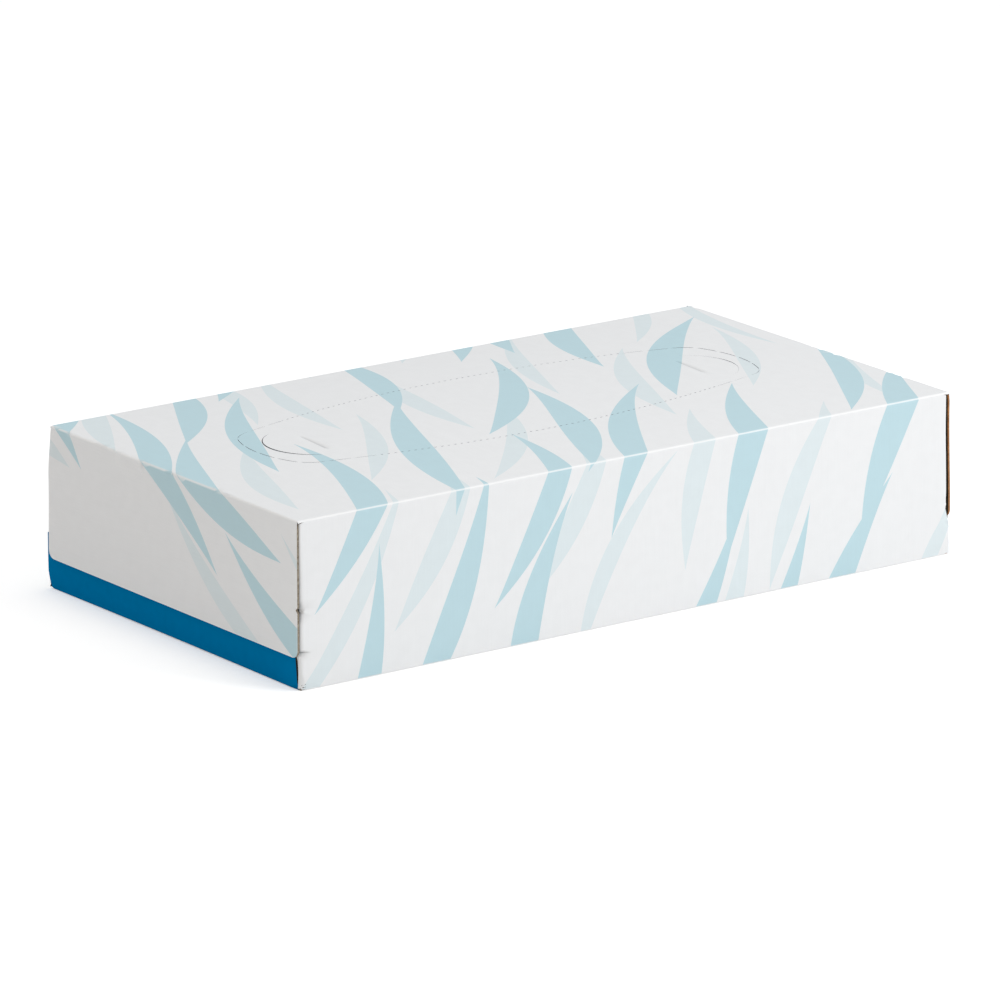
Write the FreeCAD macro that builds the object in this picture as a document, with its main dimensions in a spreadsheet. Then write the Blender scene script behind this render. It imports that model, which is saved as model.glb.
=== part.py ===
import FreeCAD, Part
import math
import os
import re

import Sketcher
from FreeCAD import Placement, Rotation, Vector

# Flat facial-tissue carton, unopened: one folded board carton, glued shut round its contents.
# Millimetres. X runs along the long walls, Y across, Z up. The origin is the middle of the base.
# One solid: the sealed pack can't be seen into, so its board and contents are one body.

NODE = "tissue_carton"

SIZES = [
    # The closed carton
    ("carton_length", 234.0, "over both end flaps"),
    ("carton_width", 125.0, "over the front and back walls"),
    ("carton_height", 49.5, "base to the folds round the top panel"),
    ("top_crown", 1.7, "rise of the packed-full top panel at its middle"),
    ("board", 0.65, "thickness of the carton board"),
    ("fold_radius", 1.0, "outside radius of the folds round the top and base panels"),
    ("wall_corner_radius", 1.2, "soft vertical folds from wall to dust flap"),
    ("seam_reveal", 1.0, "back wall's lower edge above the base, over the glue lap"),
    # The white flap that closes each end, folded down from the top panel
    ("outer_flap_edge", 9.4, "its lower edge above the base"),
    ("outer_flap_inset", 0.3, "its side edges inside the walls"),
    ("outer_flap_corner", 2.8, "radius of its lower corners"),
    ("flap_gap_depth", 3.0, "how far the gap behind it runs in from each side"),
    # The blue flap under it, folded up from the base panel
    ("inner_flap_height", 17.0, "its upper edge above the base"),
    ("inner_flap_inset", 0.6, "its side edges inside the walls"),
    ("inner_flap_fold_radius", 0.6, "outside radius of its fold"),
    ("left_flap_shift", 0.6, "how far the left one is folded towards the back wall"),
    ("left_flap_lean", 2.1, "how far its upper edge is skewed towards the back wall"),
    # The perforated tear-out oval in the top panel
    ("oval_end_margin", 28.8, "its ends to the end folds"),
    ("oval_side_margin", 32.5, "its widest place to the long folds"),
    ("oval_side_bow", 13.7, "how much narrower its side arcs are at the ends"),
    ("oval_end_radius", 35.0, "radius of its blunt ends"),
    ("oval_corner_radius", 9.0, "radius between side and end arcs"),
    ("cut_width", 0.3, "width of every cut through the top panel"),
    ("fine_cut", 1.1, "length of a cut along the sides"),
    ("fine_pitch", 2.15, "cut to cut along the sides"),
    ("long_zone", 26.0, "length of each end that has the long cuts"),
    ("long_pitch", 8.2, "cut to cut round the ends"),
    ("long_nick", 1.3, "uncut nick between two long cuts"),
    # The thumb tab at each end of the oval
    ("tab_setback", 4.7, "its cut inside the oval's end"),
    ("tab_radius", 15.0, "radius of its curved cut"),
    ("tab_sweep", 65.0, "degrees of the cut each side of its middle"),
    ("crease_length", 16.0, "scored line that it bends at"),
    ("crease_width", 0.5, "width of that score"),
    ("crease_depth", 0.25, "depth of that score"),
    # Cutting shapes
    ("overcut", 1.0, "how far a cutting shape stands clear of the faces that it cuts"),
]

LEFT, RIGHT = -1, 1


def make_sheet(doc):
    """The driving dimensions, one named cell a row."""
    sheet = doc.addObject("Spreadsheet::Sheet", "sizes")
    for row, (name, value, note) in enumerate(SIZES, start=1):
        sheet.set(f"A{row}", name)
        sheet.set(f"B{row}", str(value))
        sheet.set(f"C{row}", note)
        sheet.setAlias(f"B{row}", name)
    doc.recompute()
    return sheet


def in_sheet(expression):
    """The expression with every size's name read from the sheet."""
    return re.sub(r"[a-z_]+", lambda word: "sizes." + word.group(), expression)


def origin_plane(body, role):
    return next(item for item in body.Origin.OriginFeatures if item.Role == role)


def outline_sketch(body, sheet, name, role, offset, outlines):
    """A sketch of closed straight-sided outlines, each corner placed by two expressions."""
    sketch = body.newObject("Sketcher::SketchObject", name)
    sketch.AttachmentSupport = [(origin_plane(body, role), "")]
    sketch.MapMode = "FlatFace"
    sketch.setExpression("AttachmentOffset.Base.z", in_sheet(offset))
    for corners in outlines:
        first, count = sketch.GeometryCount, len(corners)
        points = [
            Vector(*(float(sheet.evalExpression(in_sheet(place))) for place in corner), 0)
            for corner in corners
        ]
        for i in range(count):
            sketch.addGeometry(Part.LineSegment(points[i], points[(i + 1) % count]), False)
        for i in range(count):
            after = first + (i + 1) % count
            sketch.addConstraint(Sketcher.Constraint("Coincident", first + i, 2, after, 1))
        for i, corner in enumerate(corners):
            for kind, place, now in zip(("DistanceX", "DistanceY"), corner, points[i]):
                index = sketch.addConstraint(Sketcher.Constraint(kind, -1, 1, first + i, 1, now))
                sketch.setExpression(f"Constraints[{index}]", in_sheet(place))
    return sketch


def add_pocket(body, sketch, depth, reverse):
    """Cut the sketch's outlines to a depth, against the sketch's normal or along it."""
    before = body.Shape.Volume
    pocket = body.newObject("PartDesign::Pocket", "cut_" + sketch.Name)
    pocket.Profile = sketch
    pocket.setExpression("Length", in_sheet(depth))
    pocket.Reversed = reverse
    body.Document.recompute()
    if body.Shape.Volume >= before:
        raise RuntimeError(pocket.Name + " cuts nothing")


def add_pad(body, sketch, length, reverse):
    pad = body.newObject("PartDesign::Pad", "pad_" + sketch.Name)
    pad.Profile = sketch
    pad.setExpression("Length", in_sheet(length))
    pad.Reversed = reverse
    body.Document.recompute()


def add_fillet(body, name, radius, chosen):
    """Round each edge of the body that the chosen test accepts."""
    edges = [f"Edge{i}" for i, edge in enumerate(body.Shape.Edges, start=1) if chosen(edge)]
    if not edges:
        raise RuntimeError(name + " finds no edge")
    base = body.Tip
    fillet = body.newObject("PartDesign::Fillet", name)
    fillet.Base = (base, edges)
    fillet.setExpression("Radius", in_sheet(radius))
    body.Document.recompute()


def runs_along(edge, axis):
    """Whether a straight edge is parallel to an axis."""
    if not isinstance(edge.Curve, Part.Line):
        return False
    return abs(edge.Curve.Direction.dot(axis)) > math.cos(math.radians(1.0))


def near(value, target):
    return abs(value - target) < 1e-4


def crown_height(sheet, x, y):
    """Height of the top panel: flat along its four folds and a parabola each way between them."""
    along = 1 - (2 * x / sheet.carton_length) ** 2
    across = 1 - (2 * y / sheet.carton_width) ** 2
    return sheet.carton_height + sheet.top_crown * along * across


def crowned_block(doc, sheet):
    """The carton's outside before folds and flaps, its top one smooth crowned patch."""
    length, width, height = sheet.carton_length, sheet.carton_width, sheet.carton_height
    # The patch runs past the folds by this factor, so that the block's flat sides trim it.
    spread = 1 + sheet.overcut / min(length, width)
    # Poles of the parabola 1 - u * u from -spread to spread.
    poles = (1 - spread**2, 1 + spread**2, 1 - spread**2)
    patch = Part.BezierSurface()
    patch.increase(2, 2)
    for i, along in enumerate(poles):
        for j, across in enumerate(poles):
            x = (i - 1) * spread * length / 2
            y = (j - 1) * spread * width / 2
            patch.setPole(i + 1, j + 1, Vector(x, y, height + sheet.top_crown * along * across))
    deep = height + 2 * sheet.top_crown + sheet.overcut
    cover = patch.toShape().extrude(Vector(0, 0, -deep))
    box = Part.makeBox(length, width, deep, Vector(-length / 2, -width / 2, 0))
    block = doc.addObject("Part::Feature", "crowned_block")
    block.Shape = box.common(cover).Solids[0]
    return block


def round_panel_folds(body, sheet):
    """The folds round the top panel and along the base's long sides."""

    def panel_fold(edge):
        middle = edge.BoundBox.Center
        on_wall = near(abs(middle.y), sheet.carton_width / 2)
        return near(middle.z, sheet.carton_height) or (on_wall and near(middle.z, 0))

    add_fillet(body, "panel_folds", "fold_radius", panel_fold)


def cut_seam(body, sheet):
    """The back wall stops just above the base and bares the glue lap, one board further in."""
    outline = [
        ("carton_width / 2 - board", "-overcut"),
        ("carton_width / 2 + overcut", "-overcut"),
        ("carton_width / 2 + overcut", "seam_reveal"),
        ("carton_width / 2 - board", "seam_reveal"),
    ]
    sketch = outline_sketch(body, sheet, "seam", "YZ_Plane", "-carton_length / 2 - overcut", [outline])
    add_pocket(body, sketch, "carton_length + overcut * 2", True)


def cut_outer_layer(body, sheet, side):
    """Leave the outer flap standing one board proud of the layer behind it."""
    edge_y = "carton_width / 2 - outer_flap_inset"
    far_y = "carton_width / 2 + overcut"
    top = "carton_height - board"
    outline = [
        (f"-({far_y})", "-overcut"),
        (far_y, "-overcut"),
        (far_y, top),
        (edge_y, top),
        (edge_y, "outer_flap_edge"),
        (f"-({edge_y})", "outer_flap_edge"),
        (f"-({edge_y})", top),
        (f"-({far_y})", top),
    ]
    name = "outer_layer_right" if side == RIGHT else "outer_layer_left"
    sketch = outline_sketch(body, sheet, name, "YZ_Plane", f"{side} * carton_length / 2", [outline])
    add_pocket(body, sketch, "board", side == LEFT)

    def flap_corner(edge):
        middle = edge.BoundBox.Center
        at_edge = near(middle.z, sheet.outer_flap_edge) and middle.x * side > 0
        return at_edge and runs_along(edge, Vector(1, 0, 0))

    add_fillet(body, name + "_corners", "outer_flap_corner", flap_corner)


def cut_inner_layer(body, sheet, side):
    """Open the gap at both sides between the outer flap and the dust flaps."""
    outlines = []
    for sign in ("", "-"):
        outlines.append([
            (f"{sign}(carton_width / 2 - flap_gap_depth)", "-overcut"),
            (f"{sign}(carton_width / 2 + overcut)", "-overcut"),
            (f"{sign}(carton_width / 2 + overcut)", "carton_height - board"),
            (f"{sign}(carton_width / 2 - flap_gap_depth)", "carton_height - board"),
        ])
    name = "inner_layer_right" if side == RIGHT else "inner_layer_left"
    offset = f"{side} * (carton_length / 2 - board)"
    sketch = outline_sketch(body, sheet, name, "YZ_Plane", offset, outlines)
    add_pocket(body, sketch, "board", side == LEFT)


def round_wall_corners(body, sheet):
    """Round the vertical folds from the walls to the dust flaps, under the top panel."""
    face, wall = "carton_length / 2 - board * 2", "carton_width / 2"
    height = "carton_height - board"
    corners = [("", "", 0.0), ("-", "", 90.0), ("-", "-", 180.0), ("", "-", 270.0)]
    notches = [
        [
            (f"{end}({face} - wall_corner_radius)", f"{flank}({wall} - wall_corner_radius)"),
            (f"{end}({face})", f"{flank}({wall} - wall_corner_radius)"),
            (f"{end}({face})", f"{flank}({wall} + overcut)"),
            (f"{end}({face} - wall_corner_radius)", f"{flank}({wall} + overcut)"),
        ]
        for end, flank, _ in corners
    ]
    sketch = outline_sketch(body, sheet, "wall_corners", "XY_Plane", "0", notches)
    add_pocket(body, sketch, height, True)
    for end, flank, turn in corners:
        rounding = body.newObject("PartDesign::AdditiveCylinder", "wall_corner_round")
        rounding.AttachmentSupport = [(origin_plane(body, "XY_Plane"), "")]
        rounding.MapMode = "FlatFace"
        rounding.AttachmentOffset = Placement(Vector(0, 0, 0), Rotation(Vector(0, 0, 1), turn))
        rounding.setExpression("AttachmentOffset.Base.x", in_sheet(f"{end}({face} - wall_corner_radius)"))
        rounding.setExpression("AttachmentOffset.Base.y", in_sheet(f"{flank}({wall} - wall_corner_radius)"))
        rounding.setExpression("Radius", in_sheet("wall_corner_radius"))
        rounding.setExpression("Height", in_sheet(height))
        rounding.Angle = 90.0
        body.Document.recompute()


def add_inner_flap(body, sheet, side):
    """The flap folded up from the base, which the outer flap is glued over."""
    half = "(carton_width / 2 - inner_flap_inset)"
    shift, lean = ("0", "0") if side == RIGHT else ("left_flap_shift", "left_flap_lean")
    outline = [
        (f"-{half} + {shift}", "0"),
        (f"{half} + {shift}", "0"),
        (f"{half} + {shift} + {lean}", "inner_flap_height"),
        (f"-{half} + {shift} + {lean}", "inner_flap_height"),
    ]
    name = "inner_flap_right" if side == RIGHT else "inner_flap_left"
    offset = f"{side} * (carton_length / 2 - board)"
    sketch = outline_sketch(body, sheet, name, "YZ_Plane", offset, [outline])
    add_pad(body, sketch, "board", side == RIGHT)

    def flap_fold(edge):
        middle = edge.BoundBox.Center
        at_face = near(middle.x, side * (sheet.carton_length / 2 - sheet.board))
        return at_face and near(middle.z, 0) and runs_along(edge, Vector(0, 1, 0))

    add_fillet(body, name + "_fold", "inner_flap_fold_radius", flap_fold)


def oval_arcs(sheet):
    """The oval's quarter at +X +Y as three tangent arcs: centre, radius, first and last angle."""
    reach = sheet.carton_length / 2 - sheet.oval_end_margin
    half_width = sheet.carton_width / 2 - sheet.oval_side_margin
    bow, end_radius, corner_radius = sheet.oval_side_bow, sheet.oval_end_radius, sheet.oval_corner_radius
    side_radius = (reach**2 + bow**2) / (2 * bow)
    side_centre = Vector(0, half_width - side_radius, 0)
    end_centre = Vector(reach - end_radius, 0, 0)
    # The corner's centre lies one corner radius inside both of the other arcs.
    between = end_centre - side_centre
    from_side, from_end = side_radius - corner_radius, end_radius - corner_radius
    along = (from_side**2 - from_end**2 + between.Length**2) / (2 * between.Length)
    across = math.sqrt(from_side**2 - along**2)
    unit = Vector(between).normalize()
    corner_centre = side_centre + unit * along + Vector(unit.y, -unit.x, 0) * across
    side_angle = math.atan2(corner_centre.y - side_centre.y, corner_centre.x - side_centre.x)
    end_angle = math.atan2(corner_centre.y - end_centre.y, corner_centre.x - end_centre.x)
    return [
        (side_centre, side_radius, math.pi / 2, side_angle),
        (corner_centre, corner_radius, side_angle, end_angle),
        (end_centre, end_radius, end_angle, 0.0),
    ]


def curved_cut(sheet, centre, radius, first, last):
    """A narrow cut through the top panel along an arc, as deep as the board where it lies."""
    half = sheet.cut_width / 2
    rings = [Part.Circle(centre, Vector(0, 0, 1), r) for r in (radius - half, radius + half)]
    inner, outer = (Part.Arc(ring, min(first, last), max(first, last)).toShape() for ring in rings)
    ends = [
        Part.makeLine(inner.Vertexes[k].Point, outer.Vertexes[k].Point)
        for k in (0, 1)
    ]
    face = Part.Face(Part.Wire([inner, ends[1], outer, ends[0]]))
    middle = (first + last) / 2
    at = centre + Vector(math.cos(middle), math.sin(middle), 0) * radius
    floor = crown_height(sheet, at.x, at.y) - sheet.board
    face.translate(Vector(0, 0, floor))
    return face.extrude(Vector(0, 0, sheet.top_crown + sheet.board + sheet.overcut))


def cuts_along(sheet, arcs, start, stop, count, cut):
    """Evenly spaced cuts between two distances along a chain of arcs."""
    shapes = []
    pitch = (stop - start) / count
    for k in range(count):
        middle = start + (k + 0.5) * pitch
        low, high, passed = middle - cut / 2, middle + cut / 2, 0.0
        for centre, radius, first, last in arcs:
            length = radius * abs(last - first)
            a, b = max(low, passed), min(high, passed + length)
            if b > a:
                turn = (last - first) / length
                angles = (first + (a - passed) * turn, first + (b - passed) * turn)
                shapes.append(curved_cut(sheet, centre, radius, *angles))
            passed += length
    return shapes


def perforation(sheet):
    """The cuts of the oval's quarter at +X +Y: fine ones along the side, long ones round the end."""
    arcs = oval_arcs(sheet)
    total = sum(radius * abs(last - first) for _, radius, first, last in arcs)
    reach = sheet.carton_length / 2 - sheet.oval_end_margin
    change = arcs[0][1] * math.asin((reach - sheet.long_zone) / arcs[0][1])
    fine = max(1, round(change / sheet.fine_pitch))
    long = max(1, round((total - change) / sheet.long_pitch))
    long_cut = (total - change) / long - sheet.long_nick
    return (
        cuts_along(sheet, arcs, 0.0, change, fine, sheet.fine_cut)
        + cuts_along(sheet, arcs, change, total, long, long_cut)
    )


def thumb_tab(sheet):
    """The right-hand tab: a curved cut through the board and the score that it bends at."""
    reach = sheet.carton_length / 2 - sheet.oval_end_margin
    centre = Vector(reach - sheet.tab_setback - sheet.tab_radius, 0, 0)
    sweep = math.radians(sheet.tab_sweep)
    top = crown_height(sheet, centre.x, 0)
    score = Part.makeBox(
        sheet.crease_width,
        sheet.crease_length,
        sheet.top_crown + sheet.crease_depth,
        Vector(centre.x - sheet.crease_width / 2, -sheet.crease_length / 2, top - sheet.crease_depth),
    )
    return [curved_cut(sheet, centre, sheet.tab_radius, -sweep, sweep), score]


def top_cuts(doc, sheet):
    """All cuts and scores of the top panel, mirrored from one quarter and one end."""
    quarter, tab = Part.makeCompound(perforation(sheet)), Part.makeCompound(thumb_tab(sheet))
    origin, across, along = Vector(0, 0, 0), Vector(0, 1, 0), Vector(1, 0, 0)
    half = Part.makeCompound([quarter, quarter.mirror(origin, across), tab])
    cuts = doc.addObject("Part::Feature", "top_cuts")
    cuts.Shape = Part.makeCompound([half, half.mirror(origin, along)])
    return cuts


def build():
    doc = FreeCAD.newDocument("tissue_box")
    sheet = make_sheet(doc)
    folded = doc.addObject("PartDesign::Body", "folded_carton")
    folded.BaseFeature = crowned_block(doc, sheet)
    doc.recompute()
    round_panel_folds(folded, sheet)
    cut_seam(folded, sheet)
    for side in (LEFT, RIGHT):
        cut_outer_layer(folded, sheet, side)
        cut_inner_layer(folded, sheet, side)
    round_wall_corners(folded, sheet)
    for side in (LEFT, RIGHT):
        add_inner_flap(folded, sheet, side)
    carton = doc.addObject("Part::Cut", "carton")
    carton.Base = folded
    carton.Tool = top_cuts(doc, sheet)
    carton.Label = NODE
    doc.recompute()
    return doc, [carton]


def check(doc, parts):
    """Stop if an object failed or a part isn't one sound solid."""
    failed = [item.Name for item in doc.Objects if {"Invalid", "Error"} & set(item.State)]
    if failed:
        raise RuntimeError("not built: " + ", ".join(failed))
    for part in parts:
        shape = part.Shape
        if shape.isNull() or not shape.isValid() or len(shape.Solids) != 1:
            raise RuntimeError(part.Label + " is not one valid solid")


def export(parts):
    os.makedirs("parts", exist_ok=True)
    for part in parts:
        part.Shape.exportStep(os.path.join("parts", part.Label + ".step"))
        box = part.Shape.optimalBoundingBox()
        print(f"{part.Label}: {box.XLength:.2f} x {box.YLength:.2f} x {box.ZLength:.2f} mm")


document, sub_parts = build()
check(document, sub_parts)
export(sub_parts)
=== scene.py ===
import math

import bpy
import numpy as np
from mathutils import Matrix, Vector
from mathutils.geometry import delaunay_2d_cdt


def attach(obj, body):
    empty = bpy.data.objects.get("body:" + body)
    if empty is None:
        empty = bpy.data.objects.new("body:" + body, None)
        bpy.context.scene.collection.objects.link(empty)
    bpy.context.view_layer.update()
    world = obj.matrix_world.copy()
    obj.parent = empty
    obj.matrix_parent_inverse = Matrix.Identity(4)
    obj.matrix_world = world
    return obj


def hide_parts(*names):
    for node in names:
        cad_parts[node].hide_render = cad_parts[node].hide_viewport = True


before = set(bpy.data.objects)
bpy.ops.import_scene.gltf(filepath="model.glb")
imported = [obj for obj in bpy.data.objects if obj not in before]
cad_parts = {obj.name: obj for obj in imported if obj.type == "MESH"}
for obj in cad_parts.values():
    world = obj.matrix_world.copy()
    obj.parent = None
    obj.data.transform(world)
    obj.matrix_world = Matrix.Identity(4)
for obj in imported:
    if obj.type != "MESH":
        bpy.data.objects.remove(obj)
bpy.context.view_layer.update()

# Flat tissue carton, sealed and full: one die-cut board blank, folded and glued shut.
# The blank is drawn flat in millimetres: s runs along the carton (+X), t runs down over the front
# wall from the middle of the top panel, under the base and up to the glue lap. One function folds it.

camera = {
    "azimuth": -36.2,        # degrees, 0 looks along +Y
    "elevation": 15.9,
    "distance": 2.5,         # metres to the carton's centre
    "focal": 8569.0,         # pixels, in a picture 1000 wide
    "centre": (0.0, 0.0, 0.02475),
    "pixel": (504.3, 490.0), # where that centre lands in the picture
}

blank = {
    "length": 234.0, "width": 125.0, "height": 49.5,
    "board": 0.65,
    "crown": 1.7,            # rise of the packed-full top panel
    "foldRadius": 0.7, "baseRadius": 0.32,
    "wallRadius": 1.2,       # vertical folds, wall to dust flap: sharper at their top
    "topWallRadius": 0.4,
    "seamReveal": 1.0,       # back wall's lower edge above the base
    "flapEdge": 9.4,         # white end flap's lower edge above the base
    "rightFlapEdge": 10.9,
    "flapInset": 0.3,
    "flapCorner": 2.6,
    "blueHeight": 17.0, "blueInset": 0.6, "blueRadius": 0.5,
    "blueShift": 0.6, "blueLean": 2.05,   # the left one is folded askew, towards the back
    "nickAt": 23.6,          # a small nick in the left white flap's front edge, this high above the base
    "nick": 0.85,            # and its depth
    "creaseAt": 11.0,        # a short crease across the wall's left front fold, this high too
    "slit": 0.45,            # the slits beside the end flaps lie this far past the long folds
    "slitEnd": (1.2, 0.5),   # and run in so far past the dust flap's fold: left back, right back
    "dustLength": 42.0,
    "lapHeight": 12.0,
}

oval = {
    "reach": 87.6, "halfWidth": 30.0, "bow": 13.7, "endRadius": 35.0, "cornerRadius": 9.0,
    "back": 1.0, "turn": 0.019,              # set back by so much, and turned: mm a mm
    "fineCut": 1.1, "finePitch": 2.15, "fineWidth": 0.26,
    "longZone": 26.0, "longPitch": 8.2, "longNick": 0.7, "longWidth": 0.12, "noseWidth": 0.18,
    "leftTip": 0.03, "rightTip": -0.05,      # how far each end stands up from the panel
}

# one thumb tab at each end of the oval: a C-shaped cut about its centre, and a score line
tabs = {
    "left": (-67.6, 0.3), "right": (67.3, -0.1), "radius": 15.0, "sweep": 65.0,
    "leftWidth": (0.12, 0.3, 8), "rightWidth": (0.03, 0.3, 90),   # of the cut, at its nose, how sudden
    "leftRise": 0.14, "rightRise": -0.03,
    "leftScore": (-69.0, 2.0), "rightScore": (68.7, -0.9),
    "scoreLength": 15.0, "scoreWidth": 1.1, "scoreDepth": 0.45, "scoreTurn": -0.086,
}

leaves = {
    "seed": 11,
    "tries": 9000,
    "mid": (78.0, 104.0, 8.0, 10.5),   # length from, to, width from, to, in mm
    "pale": (60.0, 90.0, 5.0, 8.0),
    "lean": -64.0, "spread": 6.0,      # degrees in the flat blank
    "room": (23.0, 64.0),              # clear room across and along, to a leaf of the same tint
    "mixedRoom": (12.0, 40.0),         # and to one of the other tint
    "plain": (-131.0, -8.0),           # no print on the left flap past this s and before this t
}

bare, paleInk, midInk, blueInk = 0.0, 0.25, 0.5, 0.75

half, side, tall = blank["length"] / 2, blank["width"] / 2, blank["height"]
board = blank["board"]
baseFold = side + tall
lapFold = baseFold + 2 * side - board
seamEdge = -(side + tall - blank["seamReveal"])
endFold, dustFold, blueFold = half, half - 2 * board, half - board
lip = side + blank["slit"]                       # where the end flaps part from the walls
dent = side + tall - blank["creaseAt"]
nickDent = side + tall - blank["nickAt"] + 0.4   # the wall is pushed in here, beside the flap's nick


def cornerArc(x, y, radius, first, last, count=7):
    turn = np.radians(np.linspace(first, last, count))
    return np.stack([x + radius * np.cos(turn), y + radius * np.sin(turn)], 1)


def rightOutline(flapEdge, shift, lean, nick, slitBack):
    # The blank's edge at its right end, from the back wall's lower edge to the glue lap. The short steps
    # beside each fold are the die's relief cuts.
    flapOut = endFold + tall - flapEdge
    flapSide = side - blank["flapInset"]
    r = blank["flapCorner"]
    nickOut = endFold + tall - blank["nickAt"]
    dustOut = dustFold + blank["dustLength"]
    blueSide = side - blank["blueInset"]
    blueOut = blueFold + blank["blueHeight"]
    middle = baseFold + side
    blueFrom = blueFold - blank["blueRadius"]
    return np.concatenate([
        [(dustFold - 2.0, seamEdge), (dustFold + 1.6, seamEdge + 1.2), (dustOut, seamEdge + 6)],
        [(dustOut, -side - 4), (dustFold + 0.5, -side - 0.95), (dustFold - slitBack, -lip - 0.02)],
        [(dustFold - slitBack, -lip), (endFold, -lip), (endFold, -flapSide)],
        cornerArc(flapOut - r, -flapSide + r, r, -90, 0),
        cornerArc(flapOut - r, flapSide - r, r, 0, 90),
        [(nickOut + 0.9, flapSide), (nickOut, flapSide - nick), (nickOut - 0.7, flapSide)],
        [(endFold, flapSide), (endFold, lip), (dustFold - 1.2, lip)],
        [(dustFold - 1.2, lip + 0.02), (dustFold + 0.5, side + 0.95), (dustOut, side + 4)],
        [(dustOut, baseFold - 6), (dustFold + 1.2, baseFold - 0.5), (dustFold - 1.9, baseFold - 0.35)],
        [(blueFrom, baseFold - 0.25), (blueFrom, middle - blueSide + shift)],
        [(blueOut, middle - blueSide + shift + lean), (blueOut, middle + blueSide + shift + lean)],
        [(blueFrom, middle + blueSide + shift - 0.3), (blueFrom - 6.5, lapFold - 0.2)],
        [(blueFrom - 7.5, lapFold + 1.5), (dustFold - 13, lapFold + blank["lapHeight"])],
    ])


def divided(loop, step):
    # The same closed line with no side longer than the step
    after = np.roll(loop, -1, 0)
    return np.concatenate([
        a + (b - a) * np.arange(n)[:, None] / n
        for a, b in zip(loop, after)
        for n in [max(1, math.ceil(math.hypot(*(b - a)) / step))]
    ])


def blankOutline():
    leftSlit, rightSlit = blank["slitEnd"]
    right = rightOutline(blank["rightFlapEdge"], 0.0, 0.0, 0.0, rightSlit)
    left = rightOutline(blank["flapEdge"], blank["blueShift"], blank["blueLean"], blank["nick"], leftSlit)
    left = left[::-1] * [-1, 1]
    return divided(np.concatenate([right, left]), 3.0)


def ovalArcs():
    # The quarter at +s as three tangent arcs: centre, radius, first angle, last angle
    reach, bow = oval["reach"], oval["bow"]
    sideRadius = (reach**2 + bow**2) / (2 * bow)
    sideCentre = np.array([0, oval["halfWidth"] - sideRadius])
    endCentre = np.array([reach - oval["endRadius"], 0])
    between = endCentre - sideCentre
    gap = math.hypot(*between)
    fromSide, fromEnd = sideRadius - oval["cornerRadius"], oval["endRadius"] - oval["cornerRadius"]
    along = (fromSide**2 - fromEnd**2 + gap**2) / (2 * gap)
    across = math.sqrt(fromSide**2 - along**2)
    unit = between / gap
    corner = sideCentre + unit * along + np.array([unit[1], -unit[0]]) * across
    sideAngle = math.atan2(*(corner - sideCentre)[::-1])
    endAngle = math.atan2(*(corner - endCentre)[::-1])
    return [
        (sideCentre, sideRadius, math.pi / 2, sideAngle),
        (corner, oval["cornerRadius"], sideAngle, endAngle),
        (endCentre, oval["endRadius"], endAngle, 0.0),
    ]


def alongArcs(arcs, distance):
    # Points and outward directions at those distances along the chain of arcs
    ends = np.cumsum([r * abs(b - a) for _, r, a, b in arcs])
    which = np.minimum(np.searchsorted(ends, distance), len(arcs) - 1)
    starts = np.concatenate([[0], ends[:-1]])[which]
    centre = np.array([a[0] for a in arcs])[which]
    radius, first, last = np.array([a[1:] for a in arcs])[which].T
    angle = first + (distance - starts) / radius * np.sign(last - first)
    out = np.stack([np.cos(angle), np.sin(angle)], 1)
    return centre + out * radius[:, None], out


def slit(points, out, width):
    # A closed outline round a cut: its line moved half its width each way, pointed at both ends
    share = np.linspace(-1, 1, len(points))
    reach = (width / 2 * (1 - share**6))[:, None]
    return np.concatenate([points - out * reach, (points + out * reach)[-2:0:-1]])


def perforation():
    arcs = ovalArcs()
    total = sum(r * abs(b - a) for _, r, a, b in arcs)
    change = arcs[0][1] * math.asin((oval["reach"] - oval["longZone"]) / arcs[0][1])
    fine = round(change / oval["finePitch"])
    long = round((total - change) / oval["longPitch"])
    cuts = []
    for first, last, count, gap, width, steps in (
        (0, change, fine, change / fine - oval["fineCut"], oval["fineWidth"], 4),
        (change, total, long, oval["longNick"], oval["longWidth"], 10),
    ):
        pitch = (last - first) / count
        for k in range(count):
            low = first + k * pitch + gap / 2
            points, out = alongArcs(arcs, np.linspace(low, low + pitch - gap, steps))
            near = (points[:, 0].mean() / oval["reach"]) ** 12
            cuts.append(slit(points, out, width + (oval["noseWidth"] - width) * near))
    return cuts


def tabCut(centre, width, noseWidth, sudden, end):
    # A C-shaped cut, widest at its nose: width + (noseWidth - width) cos(turn / 2)^sudden
    sweep = math.radians(tabs["sweep"])
    turn = np.linspace(-sweep, sweep, 41)
    out = np.stack([np.cos(turn) * end, np.sin(turn)], 1)
    points = out * tabs["radius"] + centre
    wide = width + (noseWidth - width) * np.cos(turn / 2) ** sudden
    reach = (wide / 2 * (1 - (turn / sweep) ** 8))[:, None]
    return np.concatenate([points - out * reach, (points + out * reach)[-2:0:-1]])


def topCuts():
    quarter = perforation()
    cuts = [c * [i, j] for c in quarter for i in (-1, 1) for j in (-1, 1)]
    cuts = [np.stack([c[:, 0], c[:, 1] - oval["back"] - oval["turn"] * c[:, 0]], 1) for c in cuts]
    for name, width, end in (("left", "leftWidth", -1), ("right", "rightWidth", 1)):
        cuts.append(tabCut(tabs[name], *tabs[width], end))
    return cuts


def leafOutline(centre, length, width, angle, bend):
    # Half-width falls to nothing at both tips, fullest a little below the middle; the rib is one arc
    u = np.linspace(-1, 1, 41)
    reach = width / 2 * (1 - u**2) ** 1.15 * (1 - 0.3 * u)
    rib = bend * length * (1 - u**2)
    leaf = np.concatenate([np.stack([u * length / 2, rib + reach], 1),
                           np.stack([u * length / 2, rib - reach], 1)[-2:0:-1]])
    c, s = math.cos(angle), math.sin(angle)
    return leaf @ np.array([[c, s], [-s, c]]) + centre


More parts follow.
